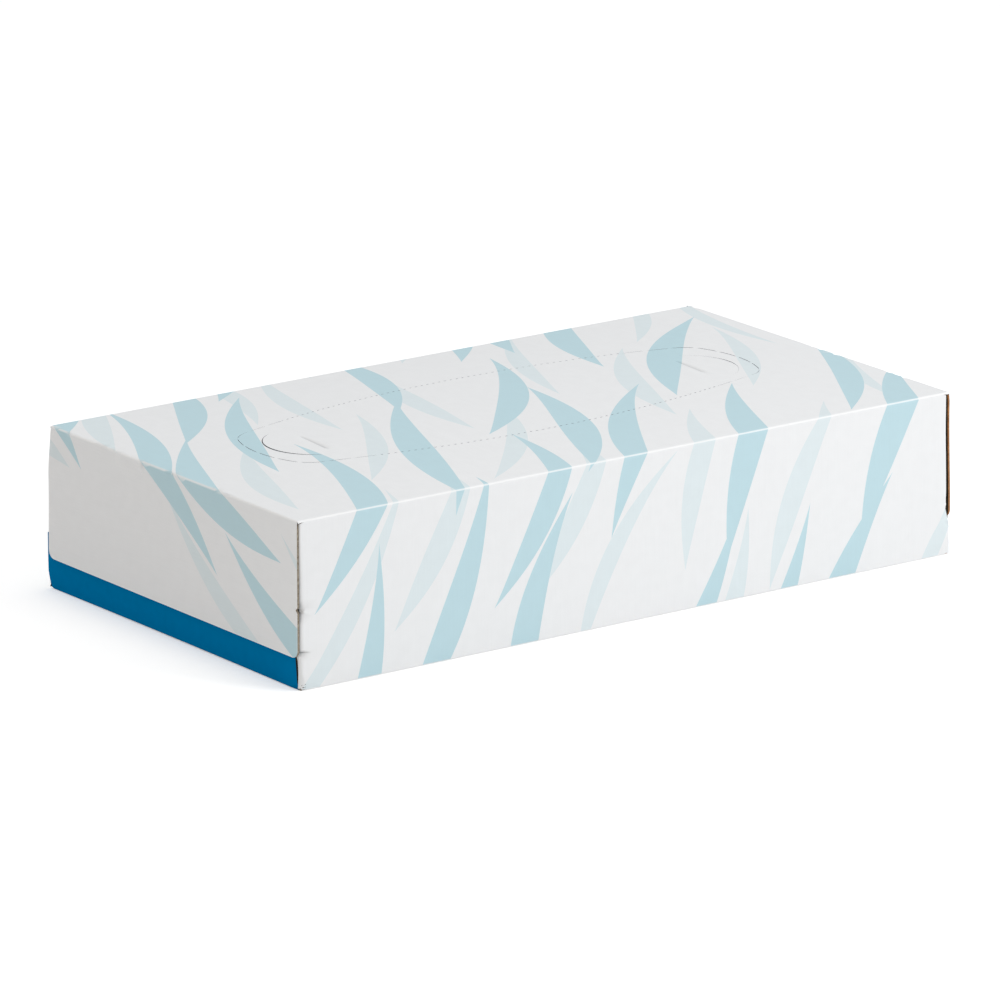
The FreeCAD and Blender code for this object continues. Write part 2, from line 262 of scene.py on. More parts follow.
def scatterLeaves():
    # Slender leaves strewn over the blank, each with clear room round it, in the order they are drawn
    rng = np.random.default_rng(leaves["seed"])
    placed, found = np.zeros((0, 3)), []
    for _ in range(leaves["tries"]):
        ink = midInk if rng.random() < 0.5 else paleInk
        size = leaves["mid"] if ink == midInk else leaves["pale"]
        centre = rng.uniform((-half - 30, seamEdge - 20), (half + 30, baseFold + 20))
        angle = math.radians(leaves["lean"] + rng.normal(0, leaves["spread"]))
        length, width = rng.uniform(size[0], size[1]), rng.uniform(size[2], size[3])
        bend = rng.choice([-1, 1]) * rng.uniform(0.05, 0.09)
        gap = placed[:, :2] - centre
        u = gap @ [math.cos(angle), math.sin(angle)]
        v = gap @ [-math.sin(angle), math.cos(angle)]
        same = placed[:, 2] == ink
        across = np.where(same, leaves["room"][0], leaves["mixedRoom"][0])
        along = np.where(same, leaves["room"][1], leaves["mixedRoom"][1])
        leaf = leafOutline(centre, length, width, angle, bend)
        onPlain = (leaf < leaves["plain"]).all(1).any()
        if (np.hypot(u / along, v / across) > 1).all() and not onPlain:
            placed = np.append(placed, [[*centre, ink]], 0)
            found.append((ink, leaf))
    return sorted(found, key=lambda leaf: leaf[0])


def inside(points, outline):
    # Even-odd test of every point against a closed outline, as one array
    low, high = outline.min(0), outline.max(0)
    result = np.zeros(len(points), bool)
    close = np.flatnonzero(((points >= low) & (points <= high)).all(1))
    if not len(close):
        return result
    x, y = points[close, 0][:, None], points[close, 1][:, None]
    a, b = outline, np.roll(outline, -1, 0)
    span = (a[:, 1] > y) != (b[:, 1] > y)
    rise = np.where(b[:, 1] == a[:, 1], 1, b[:, 1] - a[:, 1])
    cross = (b[:, 0] - a[:, 0]) * (y - a[:, 1]) / rise + a[:, 0]
    result[close] = (span & (x < cross)).sum(1) % 2 == 1
    return result


def gradedLines():
    # Places of the grid's lines: close together over each fold, a few millimetres apart between
    def spread(stops, step):
        return np.concatenate([
            np.linspace(a, b, max(1, round((b - a) / step)), endpoint=False)
            for a, b in zip(stops[:-1], stops[1:])
        ] + [stops[-1:]])

    fold = np.array([-1, -0.75, -0.5, -0.25, 0, 0.25, 0.5, 0.75, 1])
    tStops = np.concatenate([[seamEdge - 1], -side + fold, side + fold, baseFold + fold,
                             lapFold + fold, [lapFold + blank["lapHeight"] + 1]])
    ends = np.array([-2, -1.6, -1.2, -0.8, -0.4, 0, 0.4, 0.7, 1.0, 1.3, 1.65, 2.0, 2.3]) + dustFold
    sStops = np.concatenate([[-half - 46], -ends[::-1], ends, [half + 46]])
    return spread(sStops, 3.6), spread(tStops, 3.6)


def flatBoard():
    outline = blankOutline()
    cuts, prints = topCuts(), scatterLeaves()
    sLines, tLines = gradedLines()
    grid = np.stack(np.meshgrid(sLines, tLines), 2).reshape(-1, 2)
    grid = grid[inside(grid, outline)]
    loops = [outline] + cuts + [leaf for _, leaf in prints]
    # grid points too near a cut or a leaf's edge would only make slivers
    edge = np.concatenate([near for near in cuts + [leaf for _, leaf in prints]])
    onFold = (np.abs(np.abs(grid[:, 1]) - side) <= 1.01) | (np.abs(grid[:, 1] - baseFold) <= 1.01)
    onFold |= np.abs(np.abs(grid[:, 0]) - half) <= 3.4
    nearest = np.concatenate([
        np.min(np.hypot(*(part[:, None] - edge).transpose(2, 0, 1)), 1)
        for part in np.array_split(grid, 60)
    ])
    grid = grid[onFold | (nearest > 0.9)]
    foldRows = [t for t in tLines if min(abs(abs(t) - side), abs(t - baseFold)) <= 1.01]
    rows = [np.array([(-half - 1, t), (half + 1, t)]) for t in foldRows]
    for centre in (tabs["leftScore"], tabs["rightScore"]):
        ends = tabs["scoreLength"] / 2 + 0.5
        skew = tabs["scoreTurn"] * ends
        for off in np.array([-0.5, 0, 0.5]) * tabs["scoreWidth"]:
            rows.append(centre + np.array([(off - skew, -ends), (off + skew, ends)]))
        rows += [centre + np.array([(-1.5, t), (1.5, t)]) for t in np.linspace(-7, 7, 9)]
    # closer rows over the crease and over the dent beside the nick
    rows += [np.array([(-dustFold - 1.2, dent + off), (-dustFold + 3.4, dent + off + 0.3)])
             for off in (-0.3, 0, 0.3)]
    rows += [np.array([(-dustFold - 1.2, nickDent + off), (-dustFold + 1.6, nickDent + off)])
             for off in (-1.1, -0.5, 0.5, 1.1)]
    points, edges, count = [grid], [], len(grid)
    for k, loop in enumerate(loops):
        index = np.arange(len(loop)) + count
        sides = np.stack([index, np.roll(index, -1)], 1)
        if k > len(cuts):
            # a leaf's edge ends just under the base, which bears no print
            printed = loop[:, 1] < baseFold + 1.5
            sides = sides[printed & np.roll(printed, -1)] - index[0]
            kept, sides = np.unique(sides, return_inverse=True)
            loop, sides = loop[kept], sides.reshape(-1, 2) + count
        if len(sides):
            edges.append(sides)
            points.append(loop)
            count += len(loop)
    for row in rows:
        edges.append(np.array([[count, count + 1]]))
        points.append(row)
        count += 2
    made = delaunay_2d_cdt(np.concatenate(points).tolist(), np.concatenate(edges).tolist(), [], 0, 1e-4)
    flat, faces = np.array([tuple(v) for v in made[0]]), np.array(made[2])
    middle = flat[faces].mean(1)
    keep = inside(middle, outline)
    for cut in cuts:
        keep &= ~inside(middle, cut)
    faces, middle = faces[keep], middle[keep]
    ink = np.full(len(faces), bare)
    printable = (middle[:, 1] < baseFold - 0.25) & ~(
        (np.abs(middle[:, 0]) > dustFold + 1) & (np.abs(middle[:, 1]) > side - blank["flapInset"])
    )
    for tint, leaf in prints:
        ink[inside(middle, leaf) & printable] = tint
    ink[(middle[:, 1] > baseFold) & (np.abs(middle[:, 0]) > blueFold - 0.5)] = blueInk
    used, faces = np.unique(faces, return_inverse=True)
    print("blank:", len(cuts), "cuts,", len(prints), "leaves,", len(ink), "triangles")
    return flat[used], faces.reshape(-1, 3)[:, ::-1], ink


def smooth(value, low, high):
    # 0 below low, 1 above high, with no kink between
    x = np.clip((value - low) / (high - low), 0, 1)
    return x * x * (3 - 2 * x)


def section(t):
    # The sleeve's section: straight walls joined by quarter circles at the four folds
    knots = [seamEdge, -side, side, baseFold, lapFold, lapFold + blank["lapHeight"]]
    y = np.interp(t, knots, [side, side, -side, -side, side - board, side - board])
    z = np.interp(t, knots, [blank["seamReveal"], tall, tall, 0, 0, blank["lapHeight"]])
    turns = [
        (-side, (side, tall), (0, 1), (-1, 0), blank["foldRadius"]),
        (side, (-side, tall), (-1, 0), (0, -1), blank["foldRadius"]),
        (baseFold, (-side, 0), (0, -1), (1, 0), blank["baseRadius"]),
        (lapFold, (side - board, 0), (1, 0), (0, 1), 1.0),
    ]
    for place, corner, before, after, r in turns:
        turn = np.clip((t - place + r) / (2 * r), 0, 1) * math.pi / 2
        on = np.abs(t - place) < r
        for axis, value in ((0, y), (1, z)):
            centre = corner[axis] - r * before[axis] + r * after[axis]
            value[on] = (centre + r * (np.sin(turn) * before[axis] - np.cos(turn) * after[axis]))[on]
    return y, z


def endTurn(reach, place, radius):
    # How far along and how far round a fold at one end a point of the blank lies
    turn = np.clip((reach - place + radius) / (2 * radius), 0, 1) * math.pi / 2
    along = np.where(reach < place - radius, reach, place - radius + radius * np.sin(turn))
    deep = np.where(reach < place - radius, 0, radius * (1 - np.cos(turn)))
    deep = deep + np.maximum(reach - place - radius, 0)
    return along, deep


def foldBoard(flat):
    # Each point goes round the section by t and then round its end fold by s
    s, t = flat.T
    reach, end = np.abs(s), np.sign(s)
    y, z = section(t.copy())
    onTop = np.abs(t) < lip + 0.01
    onFront, onBack = (t >= lip + 0.01) & (t < baseFold - 0.3), t <= -lip - 0.01
    onBase = t >= baseFold - 0.3
    x = reach.copy()

    along, deep = endTurn(reach, endFold, blank["foldRadius"])
    free = smooth(reach, endFold - 0.5, endFold + 2.5)   # the flap is flat past its fold
    x = np.where(onTop, along, x)
    y = np.where(onTop, (1 - free) * y - free * t, y)
    z = np.where(onTop, (1 - free) * z + free * tall - deep, z)

    radius = blank["topWallRadius"] + (blank["wallRadius"] - blank["topWallRadius"]) * smooth(tall - z, 3, 20)
    radius = np.where(end < 0, radius, np.minimum(radius, 0.7))
    along, deep = endTurn(reach, dustFold, radius)
    x = np.where(onFront | onBack, along, x)
    y = np.where(onFront, y + deep, np.where(onBack, y - deep, y))

    along, deep = endTurn(reach, blueFold, blank["blueRadius"])
    free = smooth(reach, blueFold - blank["blueRadius"], blueFold + 1)
    x = np.where(onBase, along, x)
    y = np.where(onBase, (1 - free) * y + free * (t - baseFold - side), y)
    z = np.where(onBase, (1 - free) * z + deep, z)
    x = x * end
    return bulge(s, t, x, y, z, onTop, onFront, onBack, onBase)


def creaseLine(reach, t):
    # 1 along the short crease on the left front fold, 0 at 0.3 mm beside it
    return np.clip(1 - np.abs(t - dent) / 0.3, 0, 1) * smooth(reach, dustFold - 2.4, dustFold - 0.8)


def scoreLine(s, t):
    # 1 along each thumb tab's score line, 0 at half its width beside it
    centreS, centreT = (np.where(s < 0, a, b) for a, b in zip(tabs["leftScore"], tabs["rightScore"]))
    off = np.abs(s - centreS - tabs["scoreTurn"] * (t - centreT)) / (tabs["scoreWidth"] / 2)
    ends = tabs["scoreLength"] / 2
    return np.clip(1 - off, 0, 1) * smooth(-np.abs(t - centreT), -ends - 0.5, -ends + 1)


def insideOval(reach, t):
    # Whether a point of the blank lies within the oval, from its three arcs
    sideArc, cornerArcs, endArc = ovalArcs()
    depth = [radius - np.hypot(reach - centre[0], np.abs(t) - centre[1]) for centre, radius, _, _ in
             (sideArc, cornerArcs, endArc)]
    turn = np.arctan2(np.abs(t) - cornerArcs[0][1], reach - cornerArcs[0][0])
    return np.where(turn > sideArc[3], depth[0], np.where(turn > endArc[2], depth[1], depth[2])) > 0


handled = {
    # what packing, gluing and handling did to the panels, all in millimetres
    "backPress": 1.25, "rightFlapPress": 1.2, "leftFlapPress": (1.4, 0.35),
    "blueStretch": 1.9,
    "baseArch": 0.2, "baseArchReach": 18,
    "leftTight": 0.62,                       # the wall's end hugs the flap
    "rightOpen": 0.85, "rightLower": (0.75, 1.15),
    "rightLean": 0.75,                       # right flap, outwards
    "creaseIn": (0.2, 0.25),                 # x, y
    "nickOpen": 0.42,
    "knockSpread": 1.7, "knockIn": (0.12, 0.22), "knockRipple": (0.12, 0.2),
    "backLimit": (0.13, 1.25, 1.5),          # short of the blue flap's lean; more so near the base
}


def bulge(s, t, x, y, z, onTop, onFront, onBack, onBase):
    reach, left, end = np.abs(s), s < 0, np.sign(s)
    fromAxis = t + oval["back"] + oval["turn"] * s     # off the oval's long axis
    inOval = insideOval(reach, fromAxis)
    panel = onTop & (reach < endFold)
    # crown of the full pack: 1 - (x / half)^4 along, 1 - (y / side)^2 across
    crown = blank["crown"] * np.clip(1 - (x / half) ** 4, 0, 1) * np.clip(1 - (y / side) ** 2, 0, 1)
    z = z + np.where(onTop & (z > tall - 1.2), crown, 0)
    # the oval's ends and the thumb tabs in them stand up a little at the left, lie sunk at the right
    centreS, centreT = (np.where(left, a, b) for a, b in zip(tabs["left"], tabs["right"]))
    ahead = (s - centreS) * end / tabs["radius"]
    start = math.cos(math.radians(tabs["sweep"]))
    tip = np.clip((ahead - start) / (1 - start), 0, 1) ** 1.5
    inTab = panel & (np.hypot(s - centreS, t - centreT) < tabs["radius"])
    z = z + np.where(inTab, np.where(left, tabs["leftRise"], tabs["rightRise"]) * tip, 0)
    nose = smooth(reach, oval["reach"] - 26, oval["reach"] - 2)
    z = z + np.where(panel & inOval, np.where(left, oval["leftTip"], oval["rightTip"]) * nose, 0)
    # score line of each tab, a groove with a triangular section
    score = scoreLine(s, t)
    z = z - np.where(panel, score * tabs["scoreDepth"], 0)
    # back wall and the flaps' back edges stand out where the pack presses
    high = np.clip((tall - z) / tall, 0, 1)
    press = smooth(high, 0, 0.34) * (1 - smooth(high, 0.6, 1.0))
    y = y + np.where(onBack, handled["backPress"] * press, 0)
    onFlap = onTop & (reach > endFold)
    early, late = handled["leftFlapPress"]
    leftPress = early * smooth(high, 0, 0.3) + late * smooth(high, 0.35, 0.8)
    flapPress = np.where(left, leftPress, handled["rightFlapPress"] * press)
    y = y + np.where(onFlap, flapPress * smooth(y, 20, side), 0)
    # the left blue flap is stretched past the white one at the back and bent outwards there
    onBlue = onBase & (reach > blueFold - 0.2)
    nearBlue = smooth(reach, blueFold - 6, blueFold - 0.6)
    stretch = handled["blueStretch"] * smooth(y, 40, side - 0.3) * np.clip(1 - z / blank["blueHeight"], 0, 1)
    y = y + np.where(onBase & left, stretch * np.where(onBlue, 1, nearBlue), 0)
    x = x - np.where(onBlue & left, (board - 0.02) * smooth(y, 60.5, 63.0) * smooth(z, 1, 5), 0)
    # base panel arches a little at the left end
    lift = handled["baseArch"] * np.clip(1 - (y / side) ** 2, 0, 1)
    lift = lift * np.exp(-np.abs(x + half) / handled["baseArchReach"])
    z = z + np.where(onBase & left, lift, 0)
    # the front wall's vertical folds: the left one hugs the flap, the right one stands out below it
    wallEnd = smooth(reach, dustFold - 6, dustFold - 1) * (1 - smooth(y, 0.9 - side, 1.9 - side))
    slow, quick = handled["rightLower"]
    rightOut = slow * smooth(tall - z, 0, 36) + quick * smooth(tall - z, tall - 14, tall - 8)
    tight = np.where(left, handled["leftTight"] * smooth(tall - z, 0.1, 1.2), rightOut - handled["rightOpen"])
    x = x + np.where(onFront, tight * wallEnd * end, 0)
    # the right flap leans out towards its lower edge
    lean = handled["rightLean"] * smooth(reach, 95, endFold) * (1 - smooth(tall - z, 5, 38))
    x = x - np.where(onTop & ~left, lean, 0)
    # a dent and a short crease low on the left fold
    crease = creaseLine(reach, t)
    y = y + np.where(onFront & left, handled["creaseIn"][1] * crease, 0)
    x = x + np.where(onFront & left, handled["creaseIn"][0] * crease, 0)
    # and a small one at the nick in the flap, which opens the gap behind it
    opened = np.clip((1.1 - np.abs(t - nickDent)) / 0.6, 0, 1)
    opened = opened * smooth(reach, dustFold - 1.0, dustFold - 0.2)
    x = x + np.where(onFront & left, handled["nickOpen"] * opened, 0)
    # the bottom front corner at the left was knocked: small folds round it
    away = (x + dustFold) ** 2 + (y + side) ** 2 + z**2
    knock = np.exp(-away / (2 * handled["knockSpread"] ** 2)) * left
    ripple = np.sin(3.4 * z + 2.3 * reach) * np.cos(2.7 * reach - 1.6 * z)
    y = y + knock * (handled["knockIn"][1] + handled["knockRipple"][1] * ripple)
    x = x + knock * (handled["knockIn"][0] - handled["knockRipple"][0] * ripple)
    # nothing leaves the solid's box: limit - low * e^(-z / fade) at the back
    short, low, fade = handled["backLimit"]
    y = np.clip(y, -side, side + blank["blueLean"] - short - low * np.exp(-z / fade))
    z = np.maximum(z, 0)
    return np.stack([x, y, z], 1)


marks = {
    # mm each side of a fold over which the colour is whitened: painted highlight along the fold, where the
    # coating is also cracked
    "highlightLong": 0.48, "highlightBase": 0.5, "highlightEnd": 0.7,
    "scuffAt": (0.8, 1.2), "scuffSpread": (1.4, 1.5),
    # strength of the painted shade in the scores and the crease: left score along its length, right score,
    # crease
    "leftScore": (0.75, 0.25), "rightScore": 0.8, "crease": 2.2,
}


def pointValues(mesh, name, values):
    layer = mesh.attributes.new(name, "FLOAT", "POINT")
    layer.data.foreach_set("value", values.astype(np.float32))


def finishBoard(flat, faces, ink, materials):
    mesh = bpy.data.meshes.new("carton_board")
    mesh.from_pydata((foldBoard(flat) / 1000).tolist(), [], faces.tolist())
    for material in materials:
        mesh.materials.append(material)
    layer = mesh.uv_layers.new(name="blank")
    corner = np.zeros(len(mesh.loops), np.int32)
    mesh.loops.foreach_get("vertex_index", corner)
    layer.uv.foreach_set("vector", (flat[corner] / 1000).astype(np.float32).ravel())
    mesh.attributes.new("ink", "FLOAT", "FACE").data.foreach_set("value", ink.astype(np.float32))
    reach, t = np.abs(flat[:, 0]), flat[:, 1]
    # painted highlight along each fold, where the coating is also cracked: 1 on the fold, 0 at the widths
    # given in marks
    wornAndHighlit = np.maximum.reduce([
        1 - np.abs(np.abs(t) - side) / marks["highlightLong"],
        1 - np.abs(t - baseFold) / marks["highlightBase"],
        np.where(np.abs(t) < side, 1 - np.abs(reach - endFold) / marks["highlightEnd"], 0),
    ])
    pointValues(mesh, "fold_wear_and_highlight", np.clip(wornAndHighlit, 0, 1))
    # scuff: e^(-(s^2 / 2 a^2 + t^2 / 2 b^2)) about the knocked corner
    (offS, offT), (wideS, wideT) = marks["scuffAt"], marks["scuffSpread"]
    farS = (flat[:, 0] + dustFold - offS) ** 2 / 2 / wideS**2
    farT = (t - baseFold + offT) ** 2 / 2 / wideT**2
    pointValues(mesh, "scuff", np.exp(-(farS + farT)))
    # painted shade along the tabs' score lines and the short crease, over and above their real grooves
    least, more = marks["leftScore"]
    depth = np.where(flat[:, 0] < 0, least + more * smooth(t, -2, 6), marks["rightScore"])
    shade = scoreLine(*flat.T) * depth
    shade = np.maximum(shade, np.where(flat[:, 0] < 0, marks["crease"] * creaseLine(reach, t), 0))
    pointValues(mesh, "painted_crease_shade", shade)
    # a cut edge is sharp, the rest is smooth
    pairs = np.zeros(len(mesh.edges) * 2, np.int32)
    mesh.edges.foreach_get("vertices", pairs)
    keys = np.sort(pairs.reshape(-1, 2), 1) @ [len(flat), 1]
    ends = np.sort(np.stack([faces, np.roll(faces, -1, 1)], 2).reshape(-1, 2), 1) @ [len(flat), 1]
    found, uses = np.unique(ends, return_counts=True)
    onCrease = (np.abs(t[pairs.reshape(-1, 2)] - baseFold) < 0.01).all(1)   # pressed hard, so it is crisp
    sharp = np.isin(keys, found[uses == 1]) | onCrease
    mesh.attributes.new("sharp_edge", "BOOLEAN", "EDGE").data.foreach_set("value", sharp)
    mesh.polygons.foreach_set("use_smooth", np.ones(len(faces), bool))
    mesh.polygons.foreach_set("material_index", np.where(ink == blueInk, 3, 0).astype(np.int32))
    mesh.update()
    obj = bpy.data.objects.new("carton_board", mesh)
    bpy.context.scene.collection.objects.link(obj)
    thick = obj.modifiers.new("boardThickness", "SOLIDIFY")
    thick.thickness = board / 1000
    thick.offset = -1
    thick.use_even_offset = False
    thick.material_offset = 1
    thick.material_offset_rim = 2
    return obj


def linear(hexColour):
    parts = [int(hexColour[i:i + 2], 16) / 255 for i in (1, 3, 5)]
    return [c / 12.92 if c <= 0.04045 else ((c + 0.055) / 1.055) ** 2.4 for c in parts] + [1.0]


def addNode(tree, kind, settings=(), inputs=(), links=()):
    node = tree.nodes.new("ShaderNode" + kind)
    for name, value in dict(settings).items():
        setattr(node, name, value)
    for name, value in dict(inputs).items():
        node.inputs[name].default_value = value
    for name, socket in dict(links).items():
        tree.links.new(socket, node.inputs[name])
    return node


def newMaterial(name):
    material = bpy.data.materials.new(name)
    material.use_nodes = True
    tree = material.node_tree
    tree.nodes.clear()
    return material, tree, addNode(tree, "OutputMaterial")


printedBoard = {
    "white": "#F2F3F4", "paleTint": "#E3EDF0", "midTint": "#C3DFE7",
    "roughness": 0.5, "ior": 1.45,
    "fibreAcross": 0.5, "fibreAlong": 14.0,   # mm, paper fibres lie along the machine direction
    "mottle": 4.0,                            # mm, uneven take-up of the coating
    # painted shade in the scored lines and the crease: the light left there
    "creaseShadeDim": 0.68,                         # light left in a scored line
    "chip": 0.7, "bared": "#5B5A58",          # mm, grey board showing where the corner was scuffed
    # painted highlight whitening each fold, which also stands for its cracked coating
    "crackedHighlight": "#FAFAFA", "highlightCover": 0.9,  # fold where the coating has cracked
}


def printedBoardMaterial():
    # White-lined chipboard, offset printed, water-based coating: nearly matt, faint vertical fibre lines
    material, tree, output = newMaterial("offset_printed_white_lined_board")
    look = printedBoard
    uv = addNode(tree, "UVMap", {"uv_map": "blank"}).outputs["UV"]
    ink = addNode(tree, "Attribute", {"attribute_name": "ink"}).outputs["Fac"]
    fold_wear_and_highlight = addNode(tree, "Attribute", {"attribute_name": "fold_wear_and_highlight"}).outputs["Fac"]
    ramp = addNode(tree, "ValToRGB", links={"Fac": ink})
    ramp.color_ramp.interpolation = "CONSTANT"
    stops = [(0.0, "white"), (0.125, "paleTint"), (0.375, "midTint")]
    for i, (place, name) in enumerate(stops):
        stop = ramp.color_ramp.elements[i] if i < 2 else ramp.color_ramp.elements.new(place)
        stop.position = place
        stop.color = linear(look[name])
    grain = addNode(tree, "Mapping", inputs={
        "Scale": (1000 / look["fibreAcross"], 1000 / look["fibreAlong"], 1)}, links={"Vector": uv})
    fibres = addNode(tree, "TexNoise", inputs={"Scale": 1.0, "Detail": 3.0, "Roughness": 0.6},
                     links={"Vector": grain.outputs["Vector"]})
    mottle = addNode(tree, "TexNoise", inputs={"Scale": 1000 / look["mottle"], "Detail": 4.0},
                     links={"Vector": uv})
    both = addNode(tree, "Math", {"operation": "ADD"},
                   links={0: fibres.outputs["Fac"], 1: mottle.outputs["Fac"]})
    spans = {"From Min": 0.6, "From Max": 1.4, "To Min": 0.965, "To Max": 1.0}
    shade = addNode(tree, "MapRange", inputs=spans, links={"Value": both.outputs["Value"]})
    toned = addNode(tree, "VectorMath", {"operation": "SCALE"},
                    links={0: ramp.outputs["Color"], "Scale": shade.outputs["Result"]})
    # painted shade: the score lines and the crease darkened in the colour
    painted_crease_shade = addNode(tree, "Attribute", {"attribute_name": "painted_crease_shade"}).outputs["Fac"]
    dim = addNode(tree, "MapRange", {"clamp": False}, {"To Min": 1.0, "To Max": look["creaseShadeDim"]},
                  {"Value": painted_crease_shade})
    toned = addNode(tree, "VectorMath", {"operation": "SCALE"},
                    links={0: toned.outputs["Vector"], "Scale": dim.outputs["Result"]})
    # painted highlight: each fold whitened in the colour, also standing for its cracked coating
    crackedHighlight = addNode(tree, "Math", {"operation": "MULTIPLY"}, {1: look["highlightCover"]}, {0: fold_wear_and_highlight})
    colour = addNode(tree, "Mix", {"data_type": "RGBA"}, {"B": linear(look["crackedHighlight"])},
                     {"Factor": crackedHighlight.outputs["Value"], "A": toned.outputs["Vector"]})
    scuff = addNode(tree, "Attribute", {"attribute_name": "scuff"}).outputs["Fac"]
    chips = addNode(tree, "TexNoise", inputs={"Scale": 1000 / look["chip"], "Detail": 2.0},
                    links={"Vector": uv})
    bared = addNode(tree, "Math", {"operation": "MULTIPLY"}, links={0: chips.outputs["Fac"], 1: scuff})
    torn = addNode(tree, "MapRange", inputs={"From Min": 0.44, "From Max": 0.5},
                   links={"Value": bared.outputs["Value"]})
    colour = addNode(tree, "Mix", {"data_type": "RGBA"}, {"B": linear(look["bared"])},
                     {"Factor": torn.outputs["Result"], "A": colour.outputs["Result"]})
    spans = {"To Min": look["roughness"] - 0.06, "To Max": look["roughness"] + 0.08}
    rough = addNode(tree, "MapRange", inputs=spans, links={"Value": mottle.outputs["Fac"]})
    relief = addNode(tree, "Bump", inputs={"Strength": 0.25, "Distance": 0.00003},
                     links={"Height": both.outputs["Value"]})
    shader = addNode(tree, "BsdfPrincipled", inputs={"IOR": look["ior"], "Specular IOR Level": 0.25},
                     links={"Base Color": colour.outputs["Result"], "Roughness": rough.outputs["Result"],
                            "Normal": relief.outputs["Normal"]})
    tree.links.new(shader.outputs["BSDF"], output.inputs["Surface"])
    return material


blueInkLook = {"colour": "#0077AF", "roughness": 0.6, "ior": 1.45, "mottle": 3.0}


def blueFlapMaterial():
    # Solid process blue laid full strength on the board: matt, dry ink that mirrors hardly anything
    material, tree, output = newMaterial("solid_blue_offset_ink")
    look = blueInkLook
    uv = addNode(tree, "UVMap", {"uv_map": "blank"}).outputs["UV"]
    mottle = addNode(tree, "TexNoise", inputs={"Scale": 1000 / look["mottle"], "Detail": 4.0},
                     links={"Vector": uv})
    shade = addNode(tree, "MapRange", inputs={"To Min": 0.93, "To Max": 1.07},
                    links={"Value": mottle.outputs["Fac"]})
    toned = addNode(tree, "VectorMath", {"operation": "SCALE"}, {0: linear(look["colour"])[:3]},
                    {"Scale": shade.outputs["Result"]})
    surface = {"IOR": look["ior"], "Roughness": look["roughness"], "Specular IOR Level": 0.0}
    shader = addNode(tree, "BsdfPrincipled", inputs=surface, links={"Base Color": toned.outputs["Vector"]})
    tree.links.new(shader.outputs["BSDF"], output.inputs["Surface"])
    return material


rawBoard = {
    # the board's back is drawn nearly black: painted shade for the deep gaps and slits where it shows; such a
    # back is mid grey-brown in itself
    "back": ("#30291F", "#241E18"), "backSpeck": 0.8,
    "ior": 1.45, "roughness": 0.85,
    # a cut edge shows the layers, brown; greyer at the left end as painted shade, where that end faces away
    # from the key light
    "shadedLeftEdge": ("#A69C8C", "#75695A"), "litRightEdge": ("#B27D50", "#7E5434"), "edgeSpeck": 0.7,
    "shadeDrift": 0.11,           # metres each side of the middle over which the edge's colour changes
    "topCut": "#7C828A",     # coating pressed over the cuts in the top panel
    "topFrom": (0.0488, 0.0494), "topReach": 0.115,   # metres up and along that mark the top panel
}


def rawBoardMaterial(name, colours, speckSize, otherColours=None):
    # Uncoated recycled pulp: matt, speckled with darker fibres; its colour may drift along the carton, which
    # on the cut edge is painted shade at the left end
    material, tree, output = newMaterial(name)
    place = addNode(tree, "TexCoord").outputs["Object"]
    speck = addNode(tree, "TexNoise", inputs={"Scale": 1000 / speckSize, "Detail": 5.0, "Roughness": 0.7},
                    links={"Vector": place})
    tints = []
    for light, dark in (colours, otherColours or colours):
        ramp = addNode(tree, "ValToRGB", links={"Fac": speck.outputs["Fac"]})
        for stop, at, colour in zip(ramp.color_ramp.elements, (0.38, 0.6), (dark, light)):
            stop.position = at
            stop.color = linear(colour)
        tints.append(ramp.outputs["Color"])
    apart = addNode(tree, "SeparateXYZ", links={"Vector": place})
    # painted shade: the colour blends along X from the shaded left colours to the lit right ones
    shadeDrift = addNode(tree, "MapRange", inputs={"From Min": -rawBoard["shadeDrift"], "From Max": rawBoard["shadeDrift"]},
                    links={"Value": apart.outputs["X"]})
    colour = addNode(tree, "Mix", {"data_type": "RGBA"}, links={
        "Factor": shadeDrift.outputs["Result"], "A": tints[0], "B": tints[1]})
    low, full = rawBoard["topFrom"]
    high = addNode(tree, "MapRange", inputs={"From Min": low, "From Max": full},
                   links={"Value": apart.outputs["Z"]})
    along = addNode(tree, "Math", {"operation": "ABSOLUTE"}, links={0: apart.outputs["X"]})
    inward = addNode(tree, "Math", {"operation": "LESS_THAN"}, {1: rawBoard["topReach"]},
                     {0: along.outputs["Value"]})
    coated = addNode(tree, "Math", {"operation": "MULTIPLY"},
                     links={0: high.outputs["Result"], 1: inward.outputs["Value"]})
    colour = addNode(tree, "Mix", {"data_type": "RGBA"}, {"B": linear(rawBoard["topCut"])},
                     {"Factor": coated.outputs["Value"], "A": colour.outputs["Result"]})
    relief = addNode(tree, "Bump", inputs={"Strength": 0.4, "Distance": 0.00005},
                     links={"Height": speck.outputs["Fac"]})
    surface = {"IOR": rawBoard["ior"], "Roughness": rawBoard["roughness"], "Specular IOR Level": 0.2}
    shader = addNode(tree, "BsdfPrincipled", inputs=surface, links={
        "Base Color": colour.outputs["Result"], "Normal": relief.outputs["Normal"]})
    tree.links.new(shader.outputs["BSDF"], output.inputs["Surface"])
    return material


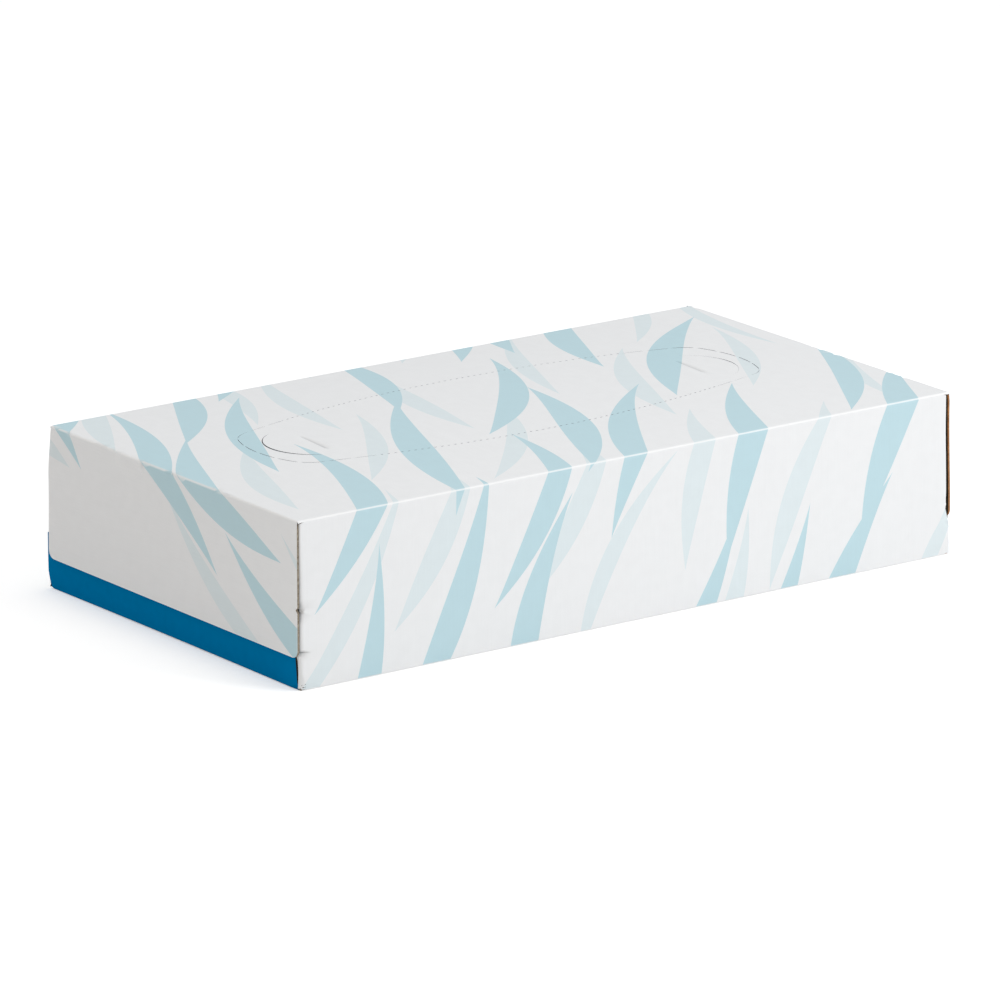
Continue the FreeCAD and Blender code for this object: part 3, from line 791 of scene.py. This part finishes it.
def addCamera():
    az, el = math.radians(camera["azimuth"]), math.radians(camera["elevation"])
    back = Vector((math.sin(az) * math.cos(el), -math.cos(az) * math.cos(el), math.sin(el)))
    right = Vector((math.cos(az), math.sin(az), 0))
    up = back.cross(right)
    perPixel = camera["distance"] / camera["focal"]
    x, y = camera["pixel"]
    target = Vector(camera["centre"]) - right * (x - 500) * perPixel + up * (y - 500) * perPixel
    data = bpy.data.cameras.new("camera")
    data.sensor_width = 36
    data.lens = camera["focal"] * 36 / 1000
    data.clip_start, data.clip_end = 0.1, 50
    obj = bpy.data.objects.new("camera", data)
    obj.location = target + back * camera["distance"]
    obj.rotation_mode = "QUATERNION"
    obj.rotation_quaternion = (-back).to_track_quat("-Z", "Y")
    bpy.context.scene.collection.objects.link(obj)
    bpy.context.scene.camera = obj


lights = {
    "key": {"at": (0.62, -0.88, 0.62), "size": 0.6, "watts": 6.1, "tint": "#FFFFFF"},
    "top": {"at": (-0.1, 0.2, 1.6), "size": 1.4, "watts": 7.0, "tint": "#FFFFFF"},
    # warm, on the left end
    "fill": {"at": (-1.5, -0.25, 0.45), "size": 0.5, "watts": 0.85, "tint": "#FFC860"},
    "ambient": 0.522,
}


def addLights():
    for name in ("key", "top", "fill"):
        look = lights[name]
        data = bpy.data.lights.new(name, "AREA")
        data.energy, data.size = look["watts"], look["size"]
        data.color = linear(look["tint"])[:3]
        obj = bpy.data.objects.new(name, data)
        obj.location = look["at"]
        obj.rotation_mode = "QUATERNION"
        obj.rotation_quaternion = (Vector((0, 0, 0.02)) - obj.location).to_track_quat("-Z", "Y")
        bpy.context.scene.collection.objects.link(obj)
    world = bpy.data.worlds.new("studio")
    bpy.context.scene.world = world
    world.use_nodes = True
    tree = world.node_tree
    tree.nodes.clear()
    path = addNode(tree, "LightPath")
    seen = addNode(tree, "Math", {"operation": "MAXIMUM"},
                   links={0: path.outputs["Is Camera Ray"], 1: path.outputs["Is Transmission Ray"]})
    soft = addNode(tree, "Background", inputs={"Color": linear("#FDFEFF"), "Strength": lights["ambient"]})
    white = addNode(tree, "Background", inputs={"Color": (1, 1, 1, 1), "Strength": 1.0})
    mix = addNode(tree, "MixShader",
                  links={0: seen.outputs["Value"], 1: soft.outputs[0], 2: white.outputs[0]})
    output = addNode(tree, "OutputWorld")
    tree.links.new(mix.outputs[0], output.inputs["Surface"])


floor = {
    "radius": 4.0, "sides": 64,
    "below": 0.00002,      # metres under the base, so that the two faces don't meet
    "tint": "#F2F2F2",
    "lift": 0.35,          # light added for the camera alone, which keeps the shadow
}


def addFloor():
    ring, size = floor["sides"], floor["radius"]
    turn = np.linspace(0, 2 * math.pi, ring, endpoint=False)
    edge = np.stack([np.cos(turn) * size, np.sin(turn) * size, np.full(ring, -floor["below"])], 1)
    mesh = bpy.data.meshes.new("floor")
    mesh.from_pydata(edge.tolist(), [], [list(range(ring))])
    material, tree, output = newMaterial("white_sweep_paper")
    path = addNode(tree, "LightPath")
    paper = addNode(tree, "BsdfDiffuse", inputs={"Color": linear(floor["tint"])})
    glow = addNode(tree, "Emission", inputs={"Color": (1, 1, 1, 1)})
    lift = addNode(tree, "Math", {"operation": "MULTIPLY"}, {1: floor["lift"]},
                   {0: path.outputs["Is Camera Ray"]})
    tree.links.new(lift.outputs["Value"], glow.inputs["Strength"])
    both = addNode(tree, "AddShader", links={0: paper.outputs[0], 1: glow.outputs[0]})
    tree.links.new(both.outputs[0], output.inputs["Surface"])
    mesh.materials.append(material)
    obj = bpy.data.objects.new("floor", mesh)
    bpy.context.scene.collection.objects.link(obj)


addCamera()
print("camera made")
flat, faces, ink = flatBoard()
shadedBoardBack = rawBoardMaterial("recycled_board_back_painted_shade", rawBoard["back"], rawBoard["backSpeck"])
boardEdge = rawBoardMaterial(
    "die_cut_board_edge_painted_shade", rawBoard["shadedLeftEdge"], rawBoard["edgeSpeck"], rawBoard["litRightEdge"])
carton = finishBoard(flat, faces, ink, [
    printedBoardMaterial(), shadedBoardBack, boardEdge, blueFlapMaterial(), shadedBoardBack, shadedBoardBack,
])
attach(carton, "root")
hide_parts("tissue_carton")
print("carton folded")
addLights()
addFloor()
bpy.context.scene.view_settings.view_transform = "Standard"
print("stage made")
